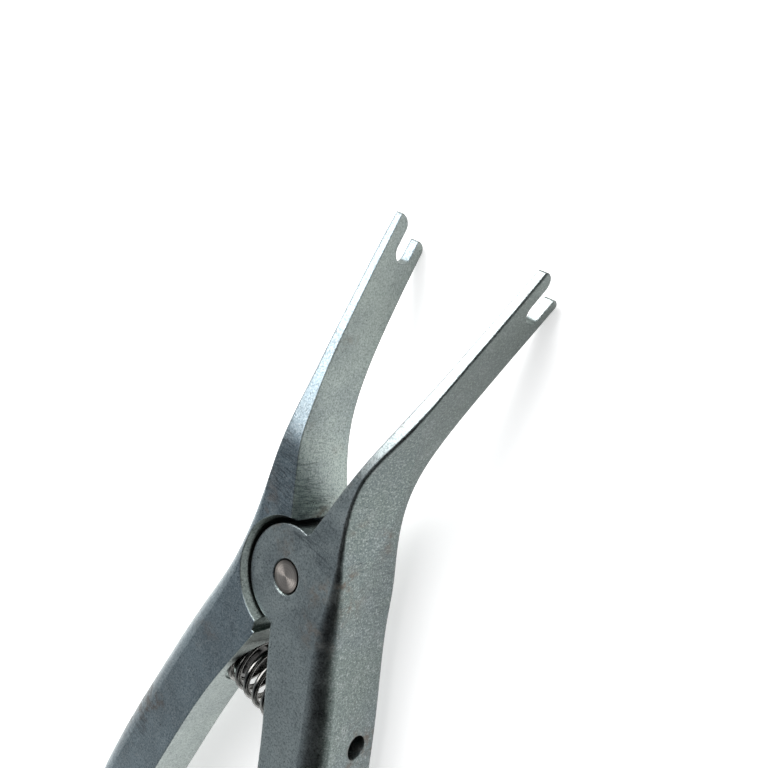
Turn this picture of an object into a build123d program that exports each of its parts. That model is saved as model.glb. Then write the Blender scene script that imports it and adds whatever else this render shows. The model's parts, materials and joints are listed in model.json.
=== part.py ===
"""Reverse-action fork-tipped pliers.

Two forged levers meet in a lap joint on a flush riveted pivot pin.  Each lever carries the handle and the
jaw of its own side, so squeezing the handles spreads the forked jaws.  A compression spring between the
handles, just below the pivot, pushes them apart again.

Tool frame, in millimetres: origin on the pivot axis at the front face of the right lever's lug, +X to the
right, +Y towards the jaws, +Z along the pivot axis towards the front.  The finished parts are laid on their
back, on the handle ends and the rear tines, with the origin at the middle of the footprint.
"""

import os
from math import atan2, cos, degrees, radians, sin, tan

from build123d import *

# ---------------------------------------------------------------- pivot and lap joint
pin_radius = 3.0
pin_running_gap = 0.04
pin_flare_radius = 3.3
pin_flare_depth = 0.45
pin_sink_radius = 3.75
pin_sink_depth = 0.9
pin_head_radius = 4.4
pin_head_depth = 1.4
lug_radius = 10.7
recess_radius = 11.8
recess_rim_radius = 12.5
recess_rim_depth = 1.8
lap_level = -8.3
lap_gap = 0.1
front_step = 1.45
back_level = -17.2
crotch_relief_x = 2.5
crotch_relief_y = 14.4

# ---------------------------------------------------------------- lever edges and handle end
back_edge_radius = 0.6
back_corner_cut = 7.0
handle_end_y = -118.0
handle_end_radius = 7.5
handle_end_length = 40.0
# worked outer front edge, as (y, reach over the front, inset of the crisp line, its depth, depth at the face)
handle_edge = [
    (-121, 5.6, 0, 3.8, 4.3), (-105, 5.6, 0, 3.8, 4.3), (-90, 5.6, 0, 3.8, 4.3), (-75, 5.6, 0, 3.8, 4.3),
    (-60, 5.6, 0, 3.8, 4.3), (-45, 5.6, 0, 3.8, 4.3), (-30, 5.6, 0, 3.7, 4.2), (-18, 5.2, 0, 3.6, 4.1),
    (-8, 4.5, 0, 3.5, 4.0),
]
right_neck_edge = [
    (0, 3.5, 0, 2.6, 4.0), (7, 2.6, 0.7, 1.3, 6.5), (13, 3.0, 1.9, 0.8, 9.0), (19, 3.7, 2.8, 0.6, 10.5),
    (26, 3.8, 2.9, 0.6, 10.5), (32, 2.8, 1.8, 0.6, 8.0), (38, 1.5, 0.5, 0.6, 4.0),
]
left_neck_edge = [
    (0, 3.5, 0, 2.6, 3.1), (13, 1.4, 0, 1.0, 1.5), (26, 1.0, 0, 0.8, 1.3), (38, 0.8, 0, 0.7, 1.2),
]
jaw_edge = [
    (45, 0.7, 0, 0.6, 1.1), (52, 0.7, 0, 0.6, 1.1), (59, 0.7, 0, 0.6, 1.1), (66, 0.7, 0, 0.6, 1.1),
    (72, 0.7, 0, 0.6, 1.1), (78, 0.7, 0, 0.6, 1.1),
]

# ---------------------------------------------------------------- forked tip, measured along the jaw
sweep_angle = 21.8
jaw_tip_y = 74.2
jaw_tip_width = 10.9
slot_width = 5.0
slot_depth = 8.6
slot_from_front = 5.8
rear_tine_setback = 1.6
tine_front_radius = 0.5
front_tine_radius = 2.2
rear_tine_radius = 1.7
tine_blank_length = 14.0

# ---------------------------------------------------------------- spring, its seats and the side hole
spring_y = -27.5
spring_z = -7.4
spring_outer_radius = 6.2
spring_wire_radius = 0.72
spring_turns = 6.0
spring_seat_x = 9.4
spring_pocket_radius = 6.7
spring_end_gap = 0.08
post_head_radius = 4.2
post_head_length = 4.0
post_head_chamfer = 0.8
post_shank_radius = 2.5
post_shank_length = 6.0
post_hole_clearance = 0.2
side_hole_radius = 2.45
side_hole_depth = 7.0
side_hole_y = -27.6
side_hole_z = -11.6

# ---------------------------------------------------------------- lever outlines, right lever
outer_face = [
    (38.7, -118), (38.2, -100), (34.7, -72), (27.9, -44), (21.6, -22), (15.8, -4), (13.3, 9), (12.4, 20),
    (13.9, 38), (17.5, 60), (19.6, 74.5),
]
jaw_inner_face = [(17.7, 74.5), (15.1, 60), (10.6, 38), (5.1, 20), (2.4, 11.5)]
joint_side_x = 0.3
joint_side_drop = 2.0
handle_inner_face = [(0.3, -10.4), (1.9, -15), (8.2, -32), (15.0, -58), (20.9, -88), (23.2, -118)]
# the same lever from the side, as (y, z)
front_of_jaw = [(24, 0.0), (32, -0.8), (40, -3.1), (48, -6.1), (60, -10.7), (80, -18.6)]
back_of_jaw = [
    (0, back_level), (10, -15.6), (20, -13.4), (29, -12.9),
    (38, -14.7), (48, -18.0), (60, -22.4), (80, -30.4),
]
forging_overrun = 2.0
# how far the cutting solids reach past the forging
reach = 40.0


def plan_view():
    """Flat outline of the right lever as seen along the pivot axis."""
    outer = Spline(*outer_face)
    tip = Line(outer_face[-1], jaw_inner_face[0])
    jaw = Spline(*jaw_inner_face)
    joint_side_top = jaw_inner_face[-1][1] - joint_side_drop
    neck = Polyline(jaw_inner_face[-1], (joint_side_x, joint_side_top), handle_inner_face[0])
    handle = Spline(*handle_inner_face)
    end = Line(handle_inner_face[-1], outer_face[0])
    return make_face(Curve() + [outer, tip, jaw, neck, handle, end])


def jaw_front(rise):
    """Front of the swept jaw from the side, starting from the level front raised by rise."""
    lift = [rise, 0.3 * rise] + [0.0] * (len(front_of_jaw) - 2)
    points = [(y, z + up) for (y, z), up in zip(front_of_jaw, lift)]
    return Spline(*points, tangents=[(1, 0), (cos(radians(sweep_angle)), -sin(radians(sweep_angle)))])


def side_view(rise):
    """Flat outline of the lever as seen across it, in the YZ plane, its level front raised by rise."""
    end_y = handle_end_y - forging_overrun
    front = jaw_front(rise)
    level = Line((end_y, rise), front @ 0)
    end = Line(front_of_jaw[-1], back_of_jaw[-1])
    back = Spline(*back_of_jaw, tangents=[(1, 0), (cos(radians(sweep_angle)), -sin(radians(sweep_angle)))])
    base = Polyline(back_of_jaw[0], (end_y, back_level), (end_y, rise))
    return Plane.YZ * make_face(Curve() + [level, front, end, back, base])


def blank(rise, neck_edge):
    """Forged blank of the right lever: its plan cut through its side view, with its long edges worked."""
    plan = Pos(0, 0, -reach) * extrude(plan_view(), amount=2 * reach)
    side = extrude(side_view(rise), amount=reach)
    body = plan & side
    body = fillet([edge for edge in body.edges() if is_back_outer_edge(edge)], back_edge_radius)
    return body - fork_trim() - edge_waste(handle_edge + neck_edge + jaw_edge, rise) - back_corner()


def is_back_outer_edge(edge):
    """The long level back edge of the handle beside its outer face."""
    box = edge.bounding_box()
    widest = max(x for x, y in outer_face)
    return edge.length > reach and box.max.Z < back_level + lap_gap and box.max.X > widest - lap_gap


def edge_waste(stations, rise):
    """Waste over the worked outer front edge, lofted through its stations."""
    face_line = Spline(*outer_face)
    front_line = jaw_front(rise)
    clear = 0.03
    outside = 1.5
    sections = []
    for y, front_reach, inset, depth, face_depth in stations:
        corner, along = point_at(face_line, y, Axis.Y)
        level = rise if y < front_of_jaw[0][0] else point_at(front_line, y, Axis.X)[0].Y
        line = (clear - inset, -depth)
        over = front_reach + line[0]
        radius = (over * over + depth * depth) / (2 * depth)
        half = atan2(depth, over)
        middle = (radius * sin(half) - front_reach, clear - radius * (1 - cos(half)))
        start = (-front_reach, clear)
        corners = [(-front_reach, outside), (outside, outside), (outside, -face_depth), (clear, -face_depth)]
        outline = Curve() + [Polyline(start, *corners, line), ThreePointArc(line, middle, start)]
        outward = (along.Y, -along.X, 0)
        plane = Plane(origin=(corner.X, y, level), x_dir=outward, z_dir=(-along.X, -along.Y, 0))
        sections.append(plane * make_face(outline))
    return loft(sections)


def back_corner():
    """Waste behind the 45 degree flat that thins the handle's inner face towards the back."""
    joint = handle_inner_face[0]
    end = handle_inner_face[-1]
    end_y = end[1] - 2 * forging_overrun
    inner = Spline(*handle_inner_face)
    around = Polyline(end, (end[0], end_y), (-reach, end_y), (-reach, joint[1]), joint)
    face = Pos(0, 0, back_level + back_corner_cut) * make_face(Curve() + [inner, around])
    return extrude(face, amount=reach, dir=(1, 0, -1))


def point_at(line, value, axis):
    """Point and direction of an outline where it reaches a value along an axis, or at its nearer end."""
    low = 0.0
    high = 1.0
    for _ in range(40):
        middle = (low + high) / 2
        if (line @ middle).dot(axis.direction) < value:
            low = middle
        else:
            high = middle
    return line @ low, line % low


def cylinder(radius, low, high):
    """Upright cylinder about the pivot axis between two levels."""
    return Pos(0, 0, (low + high) / 2) * Cylinder(radius, high - low)


def tine(near, far, length, far_radius):
    """Flat outline of one tine that ends at x = 0, with its two end corners rounded."""
    corners = [(-length, near), (0, near), (0, far), (-length, far)]
    return make_face(FilletPolyline(*corners, radius=[0, tine_front_radius, far_radius, 0], close=True))


def fork_trim():
    """Everything that is cut away past the tines, with the slot, for the right jaw."""
    # local frame: x along the jaw from the front tine's tip, y from the front edge towards the back
    half_slot = slot_width / 2
    bottom = half_slot - slot_depth
    open_end = 0.9 * bottom
    slot = Pos(bottom, slot_from_front) * Circle(half_slot)
    slot += Pos((bottom + tine_blank_length) / 2, slot_from_front) * Rectangle(
        tine_blank_length - bottom, slot_width
    )
    front_tine = tine(0, slot_from_front - half_slot, tine_blank_length, front_tine_radius)
    rear_tine = tine(
        slot_from_front + half_slot, jaw_tip_width, tine_blank_length - rear_tine_setback, rear_tine_radius
    )
    beyond = Pos(0, slot_from_front) * Rectangle(-2 * open_end, reach)
    waste = (beyond + slot) - front_tine - Pos(-rear_tine_setback, 0) * rear_tine
    last_y, last_z = front_of_jaw[-1]
    tip_z = last_z + (last_y - jaw_tip_y) * tan(radians(sweep_angle))
    along_jaw = (0, cos(radians(sweep_angle)), -sin(radians(sweep_angle)))
    plane = Plane(origin=(0, jaw_tip_y, tip_z), x_dir=along_jaw, z_dir=(1, 0, 0))
    return extrude(plane * (Rot(180, 0, 0) * waste), amount=reach, both=True)


def handle_end_trim():
    """Everything beyond the rounded handle end, for the right lever."""
    inner = handle_inner_face[-1][0]
    outer = outer_face[0][0]
    middle_x = (inner + outer) / 2
    middle_y = handle_end_y + handle_end_length / 2
    keep = Pos(middle_x, middle_y) * Rectangle(outer - inner + 1, handle_end_length)
    keep = fillet(keep.vertices().sort_by(Axis.Y)[:2], handle_end_radius)
    beyond = Pos(middle_x, handle_end_y) * Rectangle(2 * (outer - inner), 2 * handle_end_radius)
    return extrude(beyond - keep, amount=reach, both=True)


def along_x(radius, start_x, end_x, y, z):
    """Cylinder lying along X."""
    return Pos((start_x + end_x) / 2, y, z) * Rot(0, 90, 0) * Cylinder(radius, end_x - start_x)


def spring_pocket():
    """Round seat for the spring in the right handle, with the drilled hole for its post."""
    seat = along_x(spring_pocket_radius, -spring_seat_x, spring_seat_x, spring_y, spring_z)
    hole_bottom = spring_seat_x + post_shank_length + post_hole_clearance
    return seat + along_x(post_shank_radius, 0, hole_bottom, spring_y, spring_z)


def crotch_relief(low, high):
    """Clearance beside the joint that lets the other handle swing through the squeeze angle."""
    corner = Rectangle(crotch_relief_x + 2, crotch_relief_y)
    corner = Pos(crotch_relief_x / 2 - 1, -crotch_relief_y / 2, low) * corner
    return extrude(corner, amount=high - low)


def right_lever():
    body = blank(0.0, right_neck_edge)
    body -= cylinder(recess_rim_radius, -reach, lap_level)
    body -= crotch_relief(-reach, lap_level)
    body += cylinder(lug_radius, lap_level + lap_gap / 2, 0)
    body -= cylinder(pin_radius + pin_running_gap, -reach, reach)
    body -= Pos(0, 0, -pin_sink_depth / 2) * Cone(pin_radius, pin_sink_radius, pin_sink_depth)
    hole_bottom = point_at(Spline(*outer_face), side_hole_y, Axis.Y)[0].X - side_hole_depth
    body -= along_x(side_hole_radius, hole_bottom, reach, side_hole_y, side_hole_z)
    return body - handle_end_trim() - spring_pocket()


def left_lever():
    body = blank(front_step, left_neck_edge)
    body -= cylinder(recess_radius, lap_level, reach)
    rim = Cone(recess_radius, recess_rim_radius + recess_rim_radius - recess_radius, 2 * recess_rim_depth)
    body -= Pos(0, 0, front_step) * rim
    body -= crotch_relief(lap_level, reach)
    body += cylinder(lug_radius, back_level, lap_level - lap_gap / 2)
    body -= cylinder(pin_radius, -reach, reach)
    body -= Pos(0, 0, back_level + pin_head_depth / 2) * Cone(pin_head_radius, pin_radius, pin_head_depth)
    return mirror(body - handle_end_trim() - spring_pocket(), about=Plane.YZ)


def pivot_pin():
    shank = cylinder(pin_radius, back_level, 0)
    head = Pos(0, 0, back_level + pin_head_depth / 2) * Cone(pin_head_radius, pin_radius, pin_head_depth)
    flare = Pos(0, 0, -pin_flare_depth / 2) * Cone(pin_radius, pin_flare_radius, pin_flare_depth)
    return shank + head + flare


def spring_post(side):
    """Turned post pressed into one handle; its head stands inside the spring's end coil."""
    head = Pos(0, 0, post_head_length / 2) * Cylinder(post_head_radius, post_head_length)
    head = chamfer(head.edges().group_by(Axis.Z)[-1], post_head_chamfer)
    shank = Pos(0, 0, -post_shank_length / 2) * Cylinder(post_shank_radius, post_shank_length)
    seat = Plane(origin=(side * spring_seat_x, spring_y, spring_z), x_dir=(0, 1, 0), z_dir=(-side, 0, 0))
    return seat * (head + shank)


def return_spring():
    """Helical compression spring between the two pockets."""
    coil_radius = spring_outer_radius - spring_wire_radius
    length = 2 * (spring_seat_x - spring_end_gap - spring_wire_radius)
    path = Helix(pitch=length / spring_turns, height=length, radius=coil_radius)
    wire = Plane(path @ 0, z_dir=path % 0) * Circle(spring_wire_radius)
    coil = sweep(wire, path=path)
    start = Plane(origin=(-length / 2, spring_y, spring_z), x_dir=(0, 1, 0), z_dir=(1, 0, 0))
    return start * coil


def lay_down(parts):
    """Tilt the tool onto its back and centre its footprint on the origin."""
    lever = parts["right_lever"]
    jaw_back = lever.bounding_box().min.Z
    rear_tine_y = max(corner.Y for corner in lever.vertices() if corner.Z < jaw_back + back_edge_radius)
    tilt = degrees(atan2(back_level - jaw_back, rear_tine_y - handle_end_y))
    tilted = {name: Rot(tilt, 0, 0) * part for name, part in parts.items()}
    boxes = [part.bounding_box() for part in tilted.values()]
    middle_x = (min(box.min.X for box in boxes) + max(box.max.X for box in boxes)) / 2
    middle_y = (min(box.min.Y for box in boxes) + max(box.max.Y for box in boxes)) / 2
    lowest = min(box.min.Z for box in boxes)
    return {name: Pos(-middle_x, -middle_y, -lowest) * part for name, part in tilted.items()}


def build():
    parts = {
        "left_lever": left_lever(),
        "right_lever": right_lever(),
        "pivot_pin": pivot_pin(),
        "spring_post_left": spring_post(-1),
        "spring_post_right": spring_post(1),
        "return_spring": return_spring(),
    }
    return lay_down(parts)


if __name__ == "__main__":
    os.makedirs("parts", exist_ok=True)
    for name, part in build().items():
        export_step(part, f"parts/{name}.step")
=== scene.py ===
import json
import math

import bpy
from mathutils import Matrix, Vector


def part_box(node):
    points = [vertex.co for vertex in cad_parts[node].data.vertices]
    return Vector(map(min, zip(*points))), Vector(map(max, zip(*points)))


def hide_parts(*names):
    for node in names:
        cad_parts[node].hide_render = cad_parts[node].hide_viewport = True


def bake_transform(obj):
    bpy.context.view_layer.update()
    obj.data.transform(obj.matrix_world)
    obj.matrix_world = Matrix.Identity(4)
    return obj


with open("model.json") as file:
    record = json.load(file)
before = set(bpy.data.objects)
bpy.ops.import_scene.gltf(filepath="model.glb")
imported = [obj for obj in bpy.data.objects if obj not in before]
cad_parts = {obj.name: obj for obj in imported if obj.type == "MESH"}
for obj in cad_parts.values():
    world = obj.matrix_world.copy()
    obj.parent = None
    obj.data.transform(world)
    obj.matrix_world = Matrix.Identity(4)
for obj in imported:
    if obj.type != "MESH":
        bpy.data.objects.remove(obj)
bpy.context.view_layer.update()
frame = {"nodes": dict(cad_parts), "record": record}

MM = 0.001
nodes = frame["nodes"]
squeeze = frame["record"]["behaviour"]["joints"][0]
pivot = Vector(squeeze["pos_m"])
pivot_axis = Vector(squeeze["axis"]).normalized()

# ------------------------------------------------------------------ camera, as the photograph sees the tool
CAMERA_PLACE_MM = (90.695, 97.165, 133.731)
CAMERA_RIGHT = (0.6845, 0.36778, -0.62944)
CAMERA_FORWARD = (-0.59707, -0.21259, -0.77351)
SENSOR_WIDTH_MM = 36.0
FOCAL_LENGTH_MM = 36.504

# ------------------------------------------------------------------ studio: directions, brightness and sizes
PANEL_WAY = (-0.55, 0.55, 0.64)
DARK_WAY = (0.80, -0.20, 0.57)
WALL_LIGHT = (0.72, 0.74, 0.74, 1.0)
CEILING_LIGHT = (0.20, 0.22, 0.24, 1.0)
DARK_LIGHT = (0.004, 0.004, 0.005, 1.0)
PANEL_LIGHT = (4.0, 4.0, 4.0, 1.0)
KEY_PLACE = (-0.45, 0.55, 1.15)
KEY_SIZE = 1.5
KEY_POWER = 12.0
FLOOR_HALF = 3.0
FLOOR_DROP = 0.2 * MM
FLOOR_COLOUR = (0.90, 0.90, 0.90, 1.0)
FLOOR_GLOW = 0.6

# ------------------------------------------------------------------ steel colours
# Lever tints: fronts and sides differ partly in finish, with ground fronts and milled sides, and partly by
# painted light and shade. The left lever's front and the right lever's sides carry painted shade.
LEFT_FRONT_SHADED_TINT = (0.29, 0.36, 0.40, 1.0)
LEFT_SIDE_LIT_TINT = (0.41, 0.47, 0.44, 1.0)
RIGHT_FRONT_LIT_TINT = (0.46, 0.52, 0.52, 1.0)
RIGHT_SIDE_SHADED_TINT = (0.175, 0.21, 0.197, 1.0)
DULL_PATCH = (0.17, 0.20, 0.22, 1.0)
PALE_CLOUD = (0.50, 0.53, 0.52, 1.0)
DARK_GRAIN = (0.06, 0.075, 0.08, 1.0)
LIGHT_GRAIN = (0.72, 0.75, 0.74, 1.0)
BROWN_STAIN = (0.16, 0.11, 0.08, 1.0)
BLACK_SPECK = (0.03, 0.03, 0.03, 1.0)
JAW_SHADE = (0.10, 0.115, 0.105, 1.0)
SCRATCH = (0.06, 0.07, 0.08, 1.0)
PIN_DARK_RING = (0.34, 0.30, 0.27, 1.0)
PIN_LIGHT_RING = (0.66, 0.60, 0.55, 1.0)
# Painted shade at the pin face's rim.
PIN_RIM_SHADE = (0.10, 0.09, 0.08, 1.0)
WIRE_DARK = (0.16, 0.155, 0.15, 1.0)
WIRE_LIGHT = (0.42, 0.41, 0.39, 1.0)
# Spring posts: near-black steel as painted shade inside the coil.
POST_PAINTED_SHADE_DARK = (0.06, 0.06, 0.06, 1.0)
POST_PAINTED_SHADE_LIGHT = (0.16, 0.155, 0.15, 1.0)

# ------------------------------------------------------------------ return spring
WIRE_RADIUS = 0.72 * MM
END_INSET = 0.02 * MM
TURNS = 6.6
CLOSED_TURNS = 0.9
CLOSED_GAP_FACTOR = 1.02
FIRST_TURN_ANGLE = math.radians(200)
STEPS_PER_TURN = 34
WIRE_SIDES = 14
PITCH_BLEND = 0.22
PITCH_SAMPLES = 3


def make_camera():
    data = bpy.data.cameras.new("camera")
    camera = bpy.data.objects.new("camera", data)
    bpy.context.scene.collection.objects.link(camera)
    right = Vector(CAMERA_RIGHT).normalized()
    forward = Vector(CAMERA_FORWARD).normalized()
    up = right.cross(forward).normalized()
    right = forward.cross(up).normalized()
    turn = Matrix((right, up, -forward)).transposed().to_4x4()
    camera.matrix_world = Matrix.Translation(Vector(CAMERA_PLACE_MM) * MM) @ turn
    data.sensor_width = SENSOR_WIDTH_MM
    data.lens = FOCAL_LENGTH_MM
    data.clip_start = 0.005
    data.clip_end = 20.0
    bpy.context.scene.camera = camera


# ------------------------------------------------------------------ small node helpers
class Graph:
    """Builds a node tree with short calls."""

    def __init__(self, tree):
        self.tree = tree
        tree.nodes.clear()

    def add(self, kind, settings=None, **inputs):
        """New node; an input is named as its socket is, or i0, i1 and so on by its place."""
        node = self.tree.nodes.new(kind)
        for key, value in (settings or {}).items():
            setattr(node, key, value)
        for key, value in inputs.items():
            name = key.replace("_", " ")
            socket = node.inputs[name] if name in node.inputs else node.inputs[int(key[1:])]
            self.put(socket, value)
        return node

    def put(self, socket, value):
        if isinstance(value, bpy.types.NodeSocket):
            self.tree.links.new(value, socket)
        else:
            socket.default_value = value

    def math(self, operation, a, b=0.0):
        return self.add("ShaderNodeMath", {"operation": operation}, i0=a, i1=b).outputs[0]

    def vector(self, operation, a, b=(0.0, 0.0, 0.0)):
        node = self.add("ShaderNodeVectorMath", {"operation": operation}, i0=a, i1=b)
        return node.outputs["Value" if operation in ("LENGTH", "DOT_PRODUCT") else "Vector"]

    def ramp(self, value, low, high, to_low=0.0, to_high=1.0):
        settings = {"interpolation_type": "SMOOTHSTEP", "clamp": True}
        node = self.add("ShaderNodeMapRange", settings, Value=value, From_Min=low, From_Max=high,
                        To_Min=to_low, To_Max=to_high)
        return node.outputs["Result"]

    def mix(self, factor, a, b):
        node = self.add("ShaderNodeMix", {"data_type": "RGBA"})
        self.put(node.inputs["Factor"], factor)
        colours = [socket for socket in node.inputs if socket.type == "RGBA"]
        self.put(colours[0], a)
        self.put(colours[1], b)
        return next(socket for socket in node.outputs if socket.type == "RGBA")

    def noise(self, where, scale, detail=3.0, rough=0.55, distortion=0.0):
        node = self.add("ShaderNodeTexNoise", None, Vector=where, Scale=scale, Detail=detail,
                        Roughness=rough, Distortion=distortion)
        return node.outputs["Fac"]

    def place(self, where, rotation, scale):
        node = self.add("ShaderNodeMapping", None, Vector=where, Rotation=rotation, Scale=scale)
        return node.outputs["Vector"]

    def nearness(self, way, target, far, near):
        """How close a direction is to a target direction, from 0 at cosine far to 1 at cosine near."""
        cosine = self.vector("DOT_PRODUCT", way, tuple(Vector(target).normalized()))
        return self.ramp(cosine, far, near)


def new_material(name):
    material = bpy.data.materials.new(name)
    material.use_nodes = True
    graph = Graph(material.node_tree)
    output = graph.add("ShaderNodeOutputMaterial")
    shader = graph.add("ShaderNodeBsdfPrincipled")
    graph.tree.links.new(shader.outputs[0], output.inputs[0])
    return material, graph, shader


def bumped(graph, shader, layers, normal=None):
    """Chains (height, strength, distance in metres) bump layers into the shader's normal."""
    for height, strength, distance in layers:
        node = graph.add("ShaderNodeBump", None, Strength=strength, Distance=distance, Height=height)
        if normal is not None:
            graph.put(node.inputs["Normal"], normal)
        normal = node.outputs[0]
    graph.put(shader.inputs["Normal"], normal)


# ------------------------------------------------------------------ materials
def scratches(graph, where, angle, spread, scale, width):
    """Thin straight marks in one direction, broken into short runs."""
    turned = graph.place(where, rotation=(0.0, 0.0, angle), scale=(1.0, spread, 1.0))
    lines = graph.noise(turned, scale, detail=2.0, rough=0.5)
    off_line = graph.math("ABSOLUTE", graph.math("SUBTRACT", lines, 0.5))
    thin = graph.ramp(off_line, 0.0, width, to_low=1.0, to_high=0.0)
    runs = graph.ramp(graph.noise(where, 0.35 * scale, detail=2.0), 0.62, 0.68)
    return graph.math("MULTIPLY", thin, runs)


def lever_steel(name, front_tint_and_shade, side_tint_and_shade):
    """Satin blasted steel with its own tints on front faces and sides, partly a finish difference and partly
    painted light and shade set per lever; stained, specked and scratched.
    """
    material, g, shader = new_material(name)
    where = g.add("ShaderNodeTexCoord").outputs["Object"]
    facing = g.add("ShaderNodeNewGeometry").outputs["True Normal"]
    front = g.nearness(facing, pivot_axis, far=0.62, near=0.9)
    tone = g.mix(front, side_tint_and_shade, front_tint_and_shade)

    broad = g.noise(where, 70.0, detail=4.0, rough=0.6)
    tone = g.mix(g.ramp(broad, 0.35, 0.7, to_high=0.5), tone, DULL_PATCH)
    cloud = g.noise(where, 260.0, detail=5.0, rough=0.7, distortion=0.3)
    tone = g.mix(g.ramp(cloud, 0.5, 0.8, to_high=0.35), tone, PALE_CLOUD)
    grain = g.noise(where, 2500.0, detail=4.0, rough=0.75)
    tone = g.mix(g.ramp(grain, 0.38, 0.52, to_low=0.5, to_high=0.0), tone, DARK_GRAIN)
    tone = g.mix(g.ramp(grain, 0.52, 0.66, to_high=0.34), tone, LIGHT_GRAIN)

    stain_area = g.ramp(g.noise(where, 55.0, detail=3.0, rough=0.6, distortion=0.6), 0.55, 0.68)
    stain_grain = g.ramp(g.noise(where, 420.0, detail=4.0, rough=0.7), 0.42, 0.62)
    stain = g.math("MULTIPLY", stain_area, stain_grain)
    tone = g.mix(g.math("MULTIPLY", stain, 0.55), tone, BROWN_STAIN)
    specks = g.ramp(g.noise(where, 1500.0, detail=2.0, rough=0.5), 0.68, 0.74)
    tone = g.mix(g.math("MULTIPLY", specks, 0.7), tone, BLACK_SPECK)

    towards_jaws = g.vector("DOT_PRODUCT", where, (0.0, 1.0, 0.0))
    jaw = g.ramp(towards_jaws, 30.0 * MM, 80.0 * MM, to_high=0.5)
    tone = g.mix(g.math("MULTIPLY", jaw, g.math("SUBTRACT", 1.0, front)), tone, JAW_SHADE)

    steep_marks = scratches(g, where, angle=0.9, spread=9.0, scale=130.0, width=0.06)
    shallow_marks = scratches(g, where, angle=-0.35, spread=8.0, scale=110.0, width=0.05)
    marks = g.math("MAXIMUM", steep_marks, shallow_marks)
    tone = g.mix(g.math("MULTIPLY", marks, 0.5), tone, SCRATCH)
    g.put(shader.inputs["Base Color"], tone)

    shader.inputs["Metallic"].default_value = 1.0
    cloud_rough = g.ramp(cloud, 0.3, 0.7, to_high=0.1)
    stain_rough = g.ramp(stain, 0.0, 1.0, to_low=0.27, to_high=0.42)
    g.put(shader.inputs["Roughness"], g.math("ADD", cloud_rough, stain_rough))

    blast = g.noise(where, 3600.0, detail=3.0, rough=0.6)
    ripple = g.noise(where, 600.0, detail=3.0, rough=0.6)
    soft_edge = g.add("ShaderNodeBevel", {"samples": 6}, Radius=0.5 * MM).outputs[0]
    layers = [(ripple, 0.25, 0.05 * MM), (blast, 0.7, 0.04 * MM), (marks, -0.3, 0.02 * MM)]
    bumped(g, shader, layers, soft_edge)
    return material


def turned_steel():
    """The pin's face, turned in fine rings about the pivot axis, which draws its highlight into a bow tie."""
    material, g, shader = new_material("turned_pin_steel")
    where = g.add("ShaderNodeTexCoord").outputs["Object"]
    offset = g.vector("SUBTRACT", where, tuple(pivot))
    around = g.vector("CROSS_PRODUCT", tuple(pivot_axis), offset)
    radius = g.vector("LENGTH", around)
    rings = g.noise(g.add("ShaderNodeCombineXYZ", None, X=radius).outputs[0], 9000.0, detail=2.0)
    tone = g.mix(g.ramp(rings, 0.3, 0.7), PIN_DARK_RING, PIN_LIGHT_RING)
    # Painted shade: the pin face darkens towards its rim, where it meets the gap of the countersink.
    rim_shade = g.ramp(radius, 2.3 * MM, 3.2 * MM, to_high=0.6)
    g.put(shader.inputs["Base Color"], g.mix(rim_shade, tone, PIN_RIM_SHADE))
    shader.inputs["Metallic"].default_value = 1.0
    shader.inputs["Anisotropic"].default_value = 0.9
    g.put(shader.inputs["Tangent"], g.vector("NORMALIZE", around))
    g.put(shader.inputs["Roughness"], g.ramp(rings, 0.2, 0.8, to_low=0.26, to_high=0.4))
    bumped(g, shader, [(rings, 0.4, 0.02 * MM)])
    return material


def polished_steel(name, dark, light):
    """Dark polished steel with blotches and fine draw marks."""
    material, g, shader = new_material(name)
    where = g.add("ShaderNodeTexCoord").outputs["Object"]
    blot = g.noise(where, 500.0, detail=3.0, rough=0.6)
    g.put(shader.inputs["Base Color"], g.mix(g.ramp(blot, 0.35, 0.7), dark, light))
    shader.inputs["Metallic"].default_value = 1.0
    g.put(shader.inputs["Roughness"], g.ramp(blot, 0.3, 0.7, to_low=0.12, to_high=0.24))
    draw_marks = g.noise(where, 3500.0, detail=2.0)
    bumped(g, shader, [(draw_marks, 0.2, 0.01 * MM)])
    return material


# ------------------------------------------------------------------ return spring
def spring_path(low, high):
    """Centre line of the wire: an open helix whose end turns lie against each other."""
    centre = (low + high) / 2
    coil = (high.y - low.y) / 2 - WIRE_RADIUS
    length = high.x - low.x - 2 * (WIRE_RADIUS + END_INSET)
    closed_pitch = 2 * WIRE_RADIUS * CLOSED_GAP_FACTOR
    open_pitch = (length - 2 * CLOSED_TURNS * closed_pitch) / (TURNS - 2 * CLOSED_TURNS)
    steps = int(TURNS * STEPS_PER_TURN)

    def advance(turn):
        """Distance along the spring after some turns."""
        if turn < CLOSED_TURNS:
            return closed_pitch * turn
        if turn > TURNS - CLOSED_TURNS:
            return length - closed_pitch * (TURNS - turn)
        return CLOSED_TURNS * closed_pitch + open_pitch * (turn - CLOSED_TURNS)

    def smooth_advance(turn):
        """The same, averaged over nearby turns so that the pitch changes gently."""
        shifts = [PITCH_BLEND * k / PITCH_SAMPLES for k in range(-PITCH_SAMPLES, PITCH_SAMPLES + 1)]
        return sum(advance(min(TURNS, max(0.0, turn + shift))) for shift in shifts) / len(shifts)

    start = smooth_advance(0.0)
    stretch = length / (smooth_advance(TURNS) - start)
    path = []
    for i in range(steps + 1):
        turn = TURNS * i / steps
        angle = FIRST_TURN_ANGLE + 2 * math.pi * turn
        x = low.x + WIRE_RADIUS + END_INSET + (smooth_advance(turn) - start) * stretch
        path.append(Vector((x, centre.y + coil * math.cos(angle), centre.z + coil * math.sin(angle))))
    return path


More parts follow.
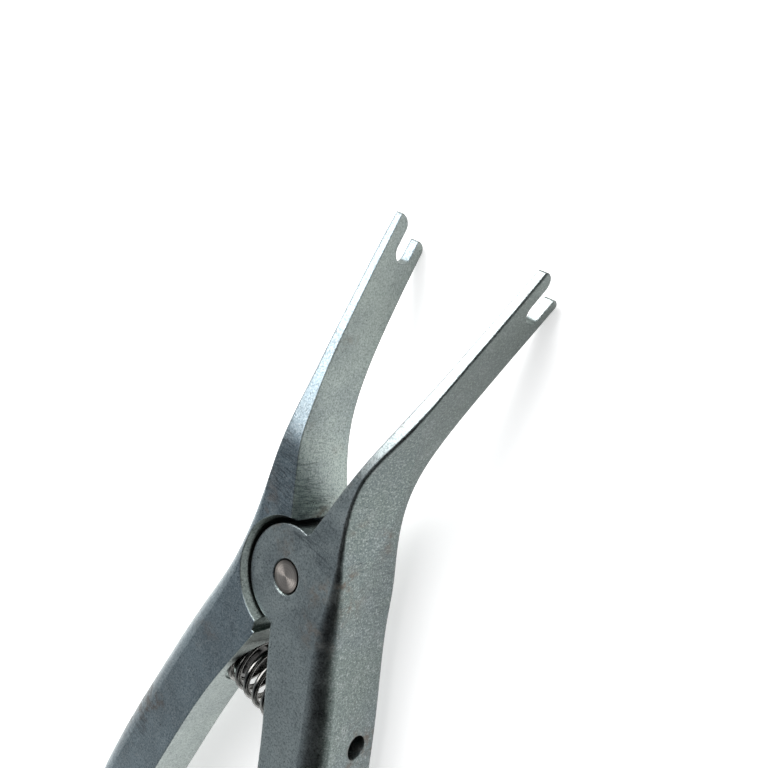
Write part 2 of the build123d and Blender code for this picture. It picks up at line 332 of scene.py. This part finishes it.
def make_spring():
    low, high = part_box("return_spring")
    centre = (low + high) / 2
    path = spring_path(low, high)
    last = len(path) - 1
    vertices = []
    for i, point in enumerate(path):
        tangent = (path[min(i + 1, last)] - path[max(i - 1, 0)]).normalized()
        outward = (point - Vector((point.x, centre.y, centre.z))).normalized()
        side = tangent.cross(outward).normalized()
        outward = side.cross(tangent).normalized()
        for k in range(WIRE_SIDES):
            angle = 2 * math.pi * k / WIRE_SIDES
            vertices.append(point + WIRE_RADIUS * (math.cos(angle) * outward + math.sin(angle) * side))
    faces = []
    for i in range(last):
        ring = i * WIRE_SIDES
        following = ring + WIRE_SIDES
        for k in range(WIRE_SIDES):
            m = (k + 1) % WIRE_SIDES
            faces.append((ring + k, ring + m, following + m, following + k))
    faces.append(tuple(range(WIRE_SIDES - 1, -1, -1)))
    faces.append(tuple(last * WIRE_SIDES + k for k in range(WIRE_SIDES)))
    mesh = bpy.data.meshes.new("coil_spring")
    mesh.from_pydata([tuple(vertex) for vertex in vertices], [], faces)
    mesh.update()
    for polygon in mesh.polygons[:-2]:
        polygon.use_smooth = True
    mesh.materials.append(polished_steel("dark_spring_wire", WIRE_DARK, WIRE_LIGHT))
    spring = bpy.data.objects.new("coil_spring", mesh)
    bpy.context.scene.collection.objects.link(spring)
    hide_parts("return_spring")
    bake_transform(spring)


# ------------------------------------------------------------------ floor, light and surroundings
def make_stage():
    signs = ((-1, -1), (1, -1), (1, 1), (-1, 1))
    mesh = bpy.data.meshes.new("floor")
    mesh.from_pydata([(x * FLOOR_HALF, y * FLOOR_HALF, 0) for x, y in signs], [], [(0, 1, 2, 3)])
    floor = bpy.data.objects.new("floor", mesh)
    floor.location.z = -FLOOR_DROP
    bpy.context.scene.collection.objects.link(floor)
    material, _, shader = new_material("pale_floor")
    shader.inputs["Base Color"].default_value = FLOOR_COLOUR
    shader.inputs["Roughness"].default_value = 0.9
    shader.inputs["Specular IOR Level"].default_value = 0.1
    shader.inputs["Emission Color"].default_value = (1.0, 1.0, 1.0, 1.0)
    shader.inputs["Emission Strength"].default_value = FLOOR_GLOW
    mesh.materials.append(material)


def make_world():
    """Pale studio walls, a dimmer ceiling, a bright panel over the jaws and a dark upper right."""
    world = bpy.data.worlds.new("studio")
    bpy.context.scene.world = world
    world.use_nodes = True
    g = Graph(world.node_tree)
    way = g.vector("NORMALIZE", g.add("ShaderNodeTexCoord").outputs["Generated"])
    height = g.vector("DOT_PRODUCT", way, (0.0, 0.0, 1.0))
    ceiling = g.ramp(height, 0.25, 0.65)
    panel = g.nearness(way, PANEL_WAY, far=0.88, near=0.985)
    dark = g.nearness(way, DARK_WAY, far=0.3, near=0.75)
    above_horizon = g.ramp(height, 0.2, 0.3)
    tone = g.mix(ceiling, WALL_LIGHT, CEILING_LIGHT)
    tone = g.mix(g.math("MULTIPLY", dark, above_horizon), tone, DARK_LIGHT)
    tone = g.mix(panel, tone, PANEL_LIGHT)
    background = g.add("ShaderNodeBackground", None, Color=tone, Strength=1.0)
    output = g.add("ShaderNodeOutputWorld")
    g.tree.links.new(background.outputs[0], output.inputs[0])


def make_key_light():
    """A wide soft lamp high beyond the jaws and to the left, aimed at the pivot."""
    data = bpy.data.lights.new("soft_key", "AREA")
    data.shape = "DISK"
    data.size = KEY_SIZE
    data.energy = KEY_POWER
    light = bpy.data.objects.new("soft_key", data)
    light.location = KEY_PLACE
    light.rotation_euler = (pivot - Vector(KEY_PLACE)).to_track_quat("-Z", "Y").to_euler()
    bpy.context.scene.collection.objects.link(light)


def finish_nodes():
    """Gives each CAD node that stays visible its material."""
    # Painted shade: the spring posts get near-black steel for the shade inside the coil.
    post_steel = polished_steel("post_steel_painted_shade", POST_PAINTED_SHADE_DARK, POST_PAINTED_SHADE_LIGHT)
    finishes = {
        # Lit and shaded copies of one steel: painted shade darkens the left lever's front and the right
        # lever's sides.
        "left_lever": lever_steel("left_lever_steel_painted_shade", LEFT_FRONT_SHADED_TINT, LEFT_SIDE_LIT_TINT),
        "right_lever": lever_steel("right_lever_steel_painted_shade", RIGHT_FRONT_LIT_TINT, RIGHT_SIDE_SHADED_TINT),
        "pivot_pin": turned_steel(),
        "spring_post_left": post_steel,
        "spring_post_right": post_steel,
    }
    for node, material in finishes.items():
        for material_slot in nodes[node].material_slots:
            material_slot.material = material


make_camera()
bpy.context.scene.view_settings.view_transform = "Standard"
make_world()
make_stage()
make_key_light()
finish_nodes()
make_spring()
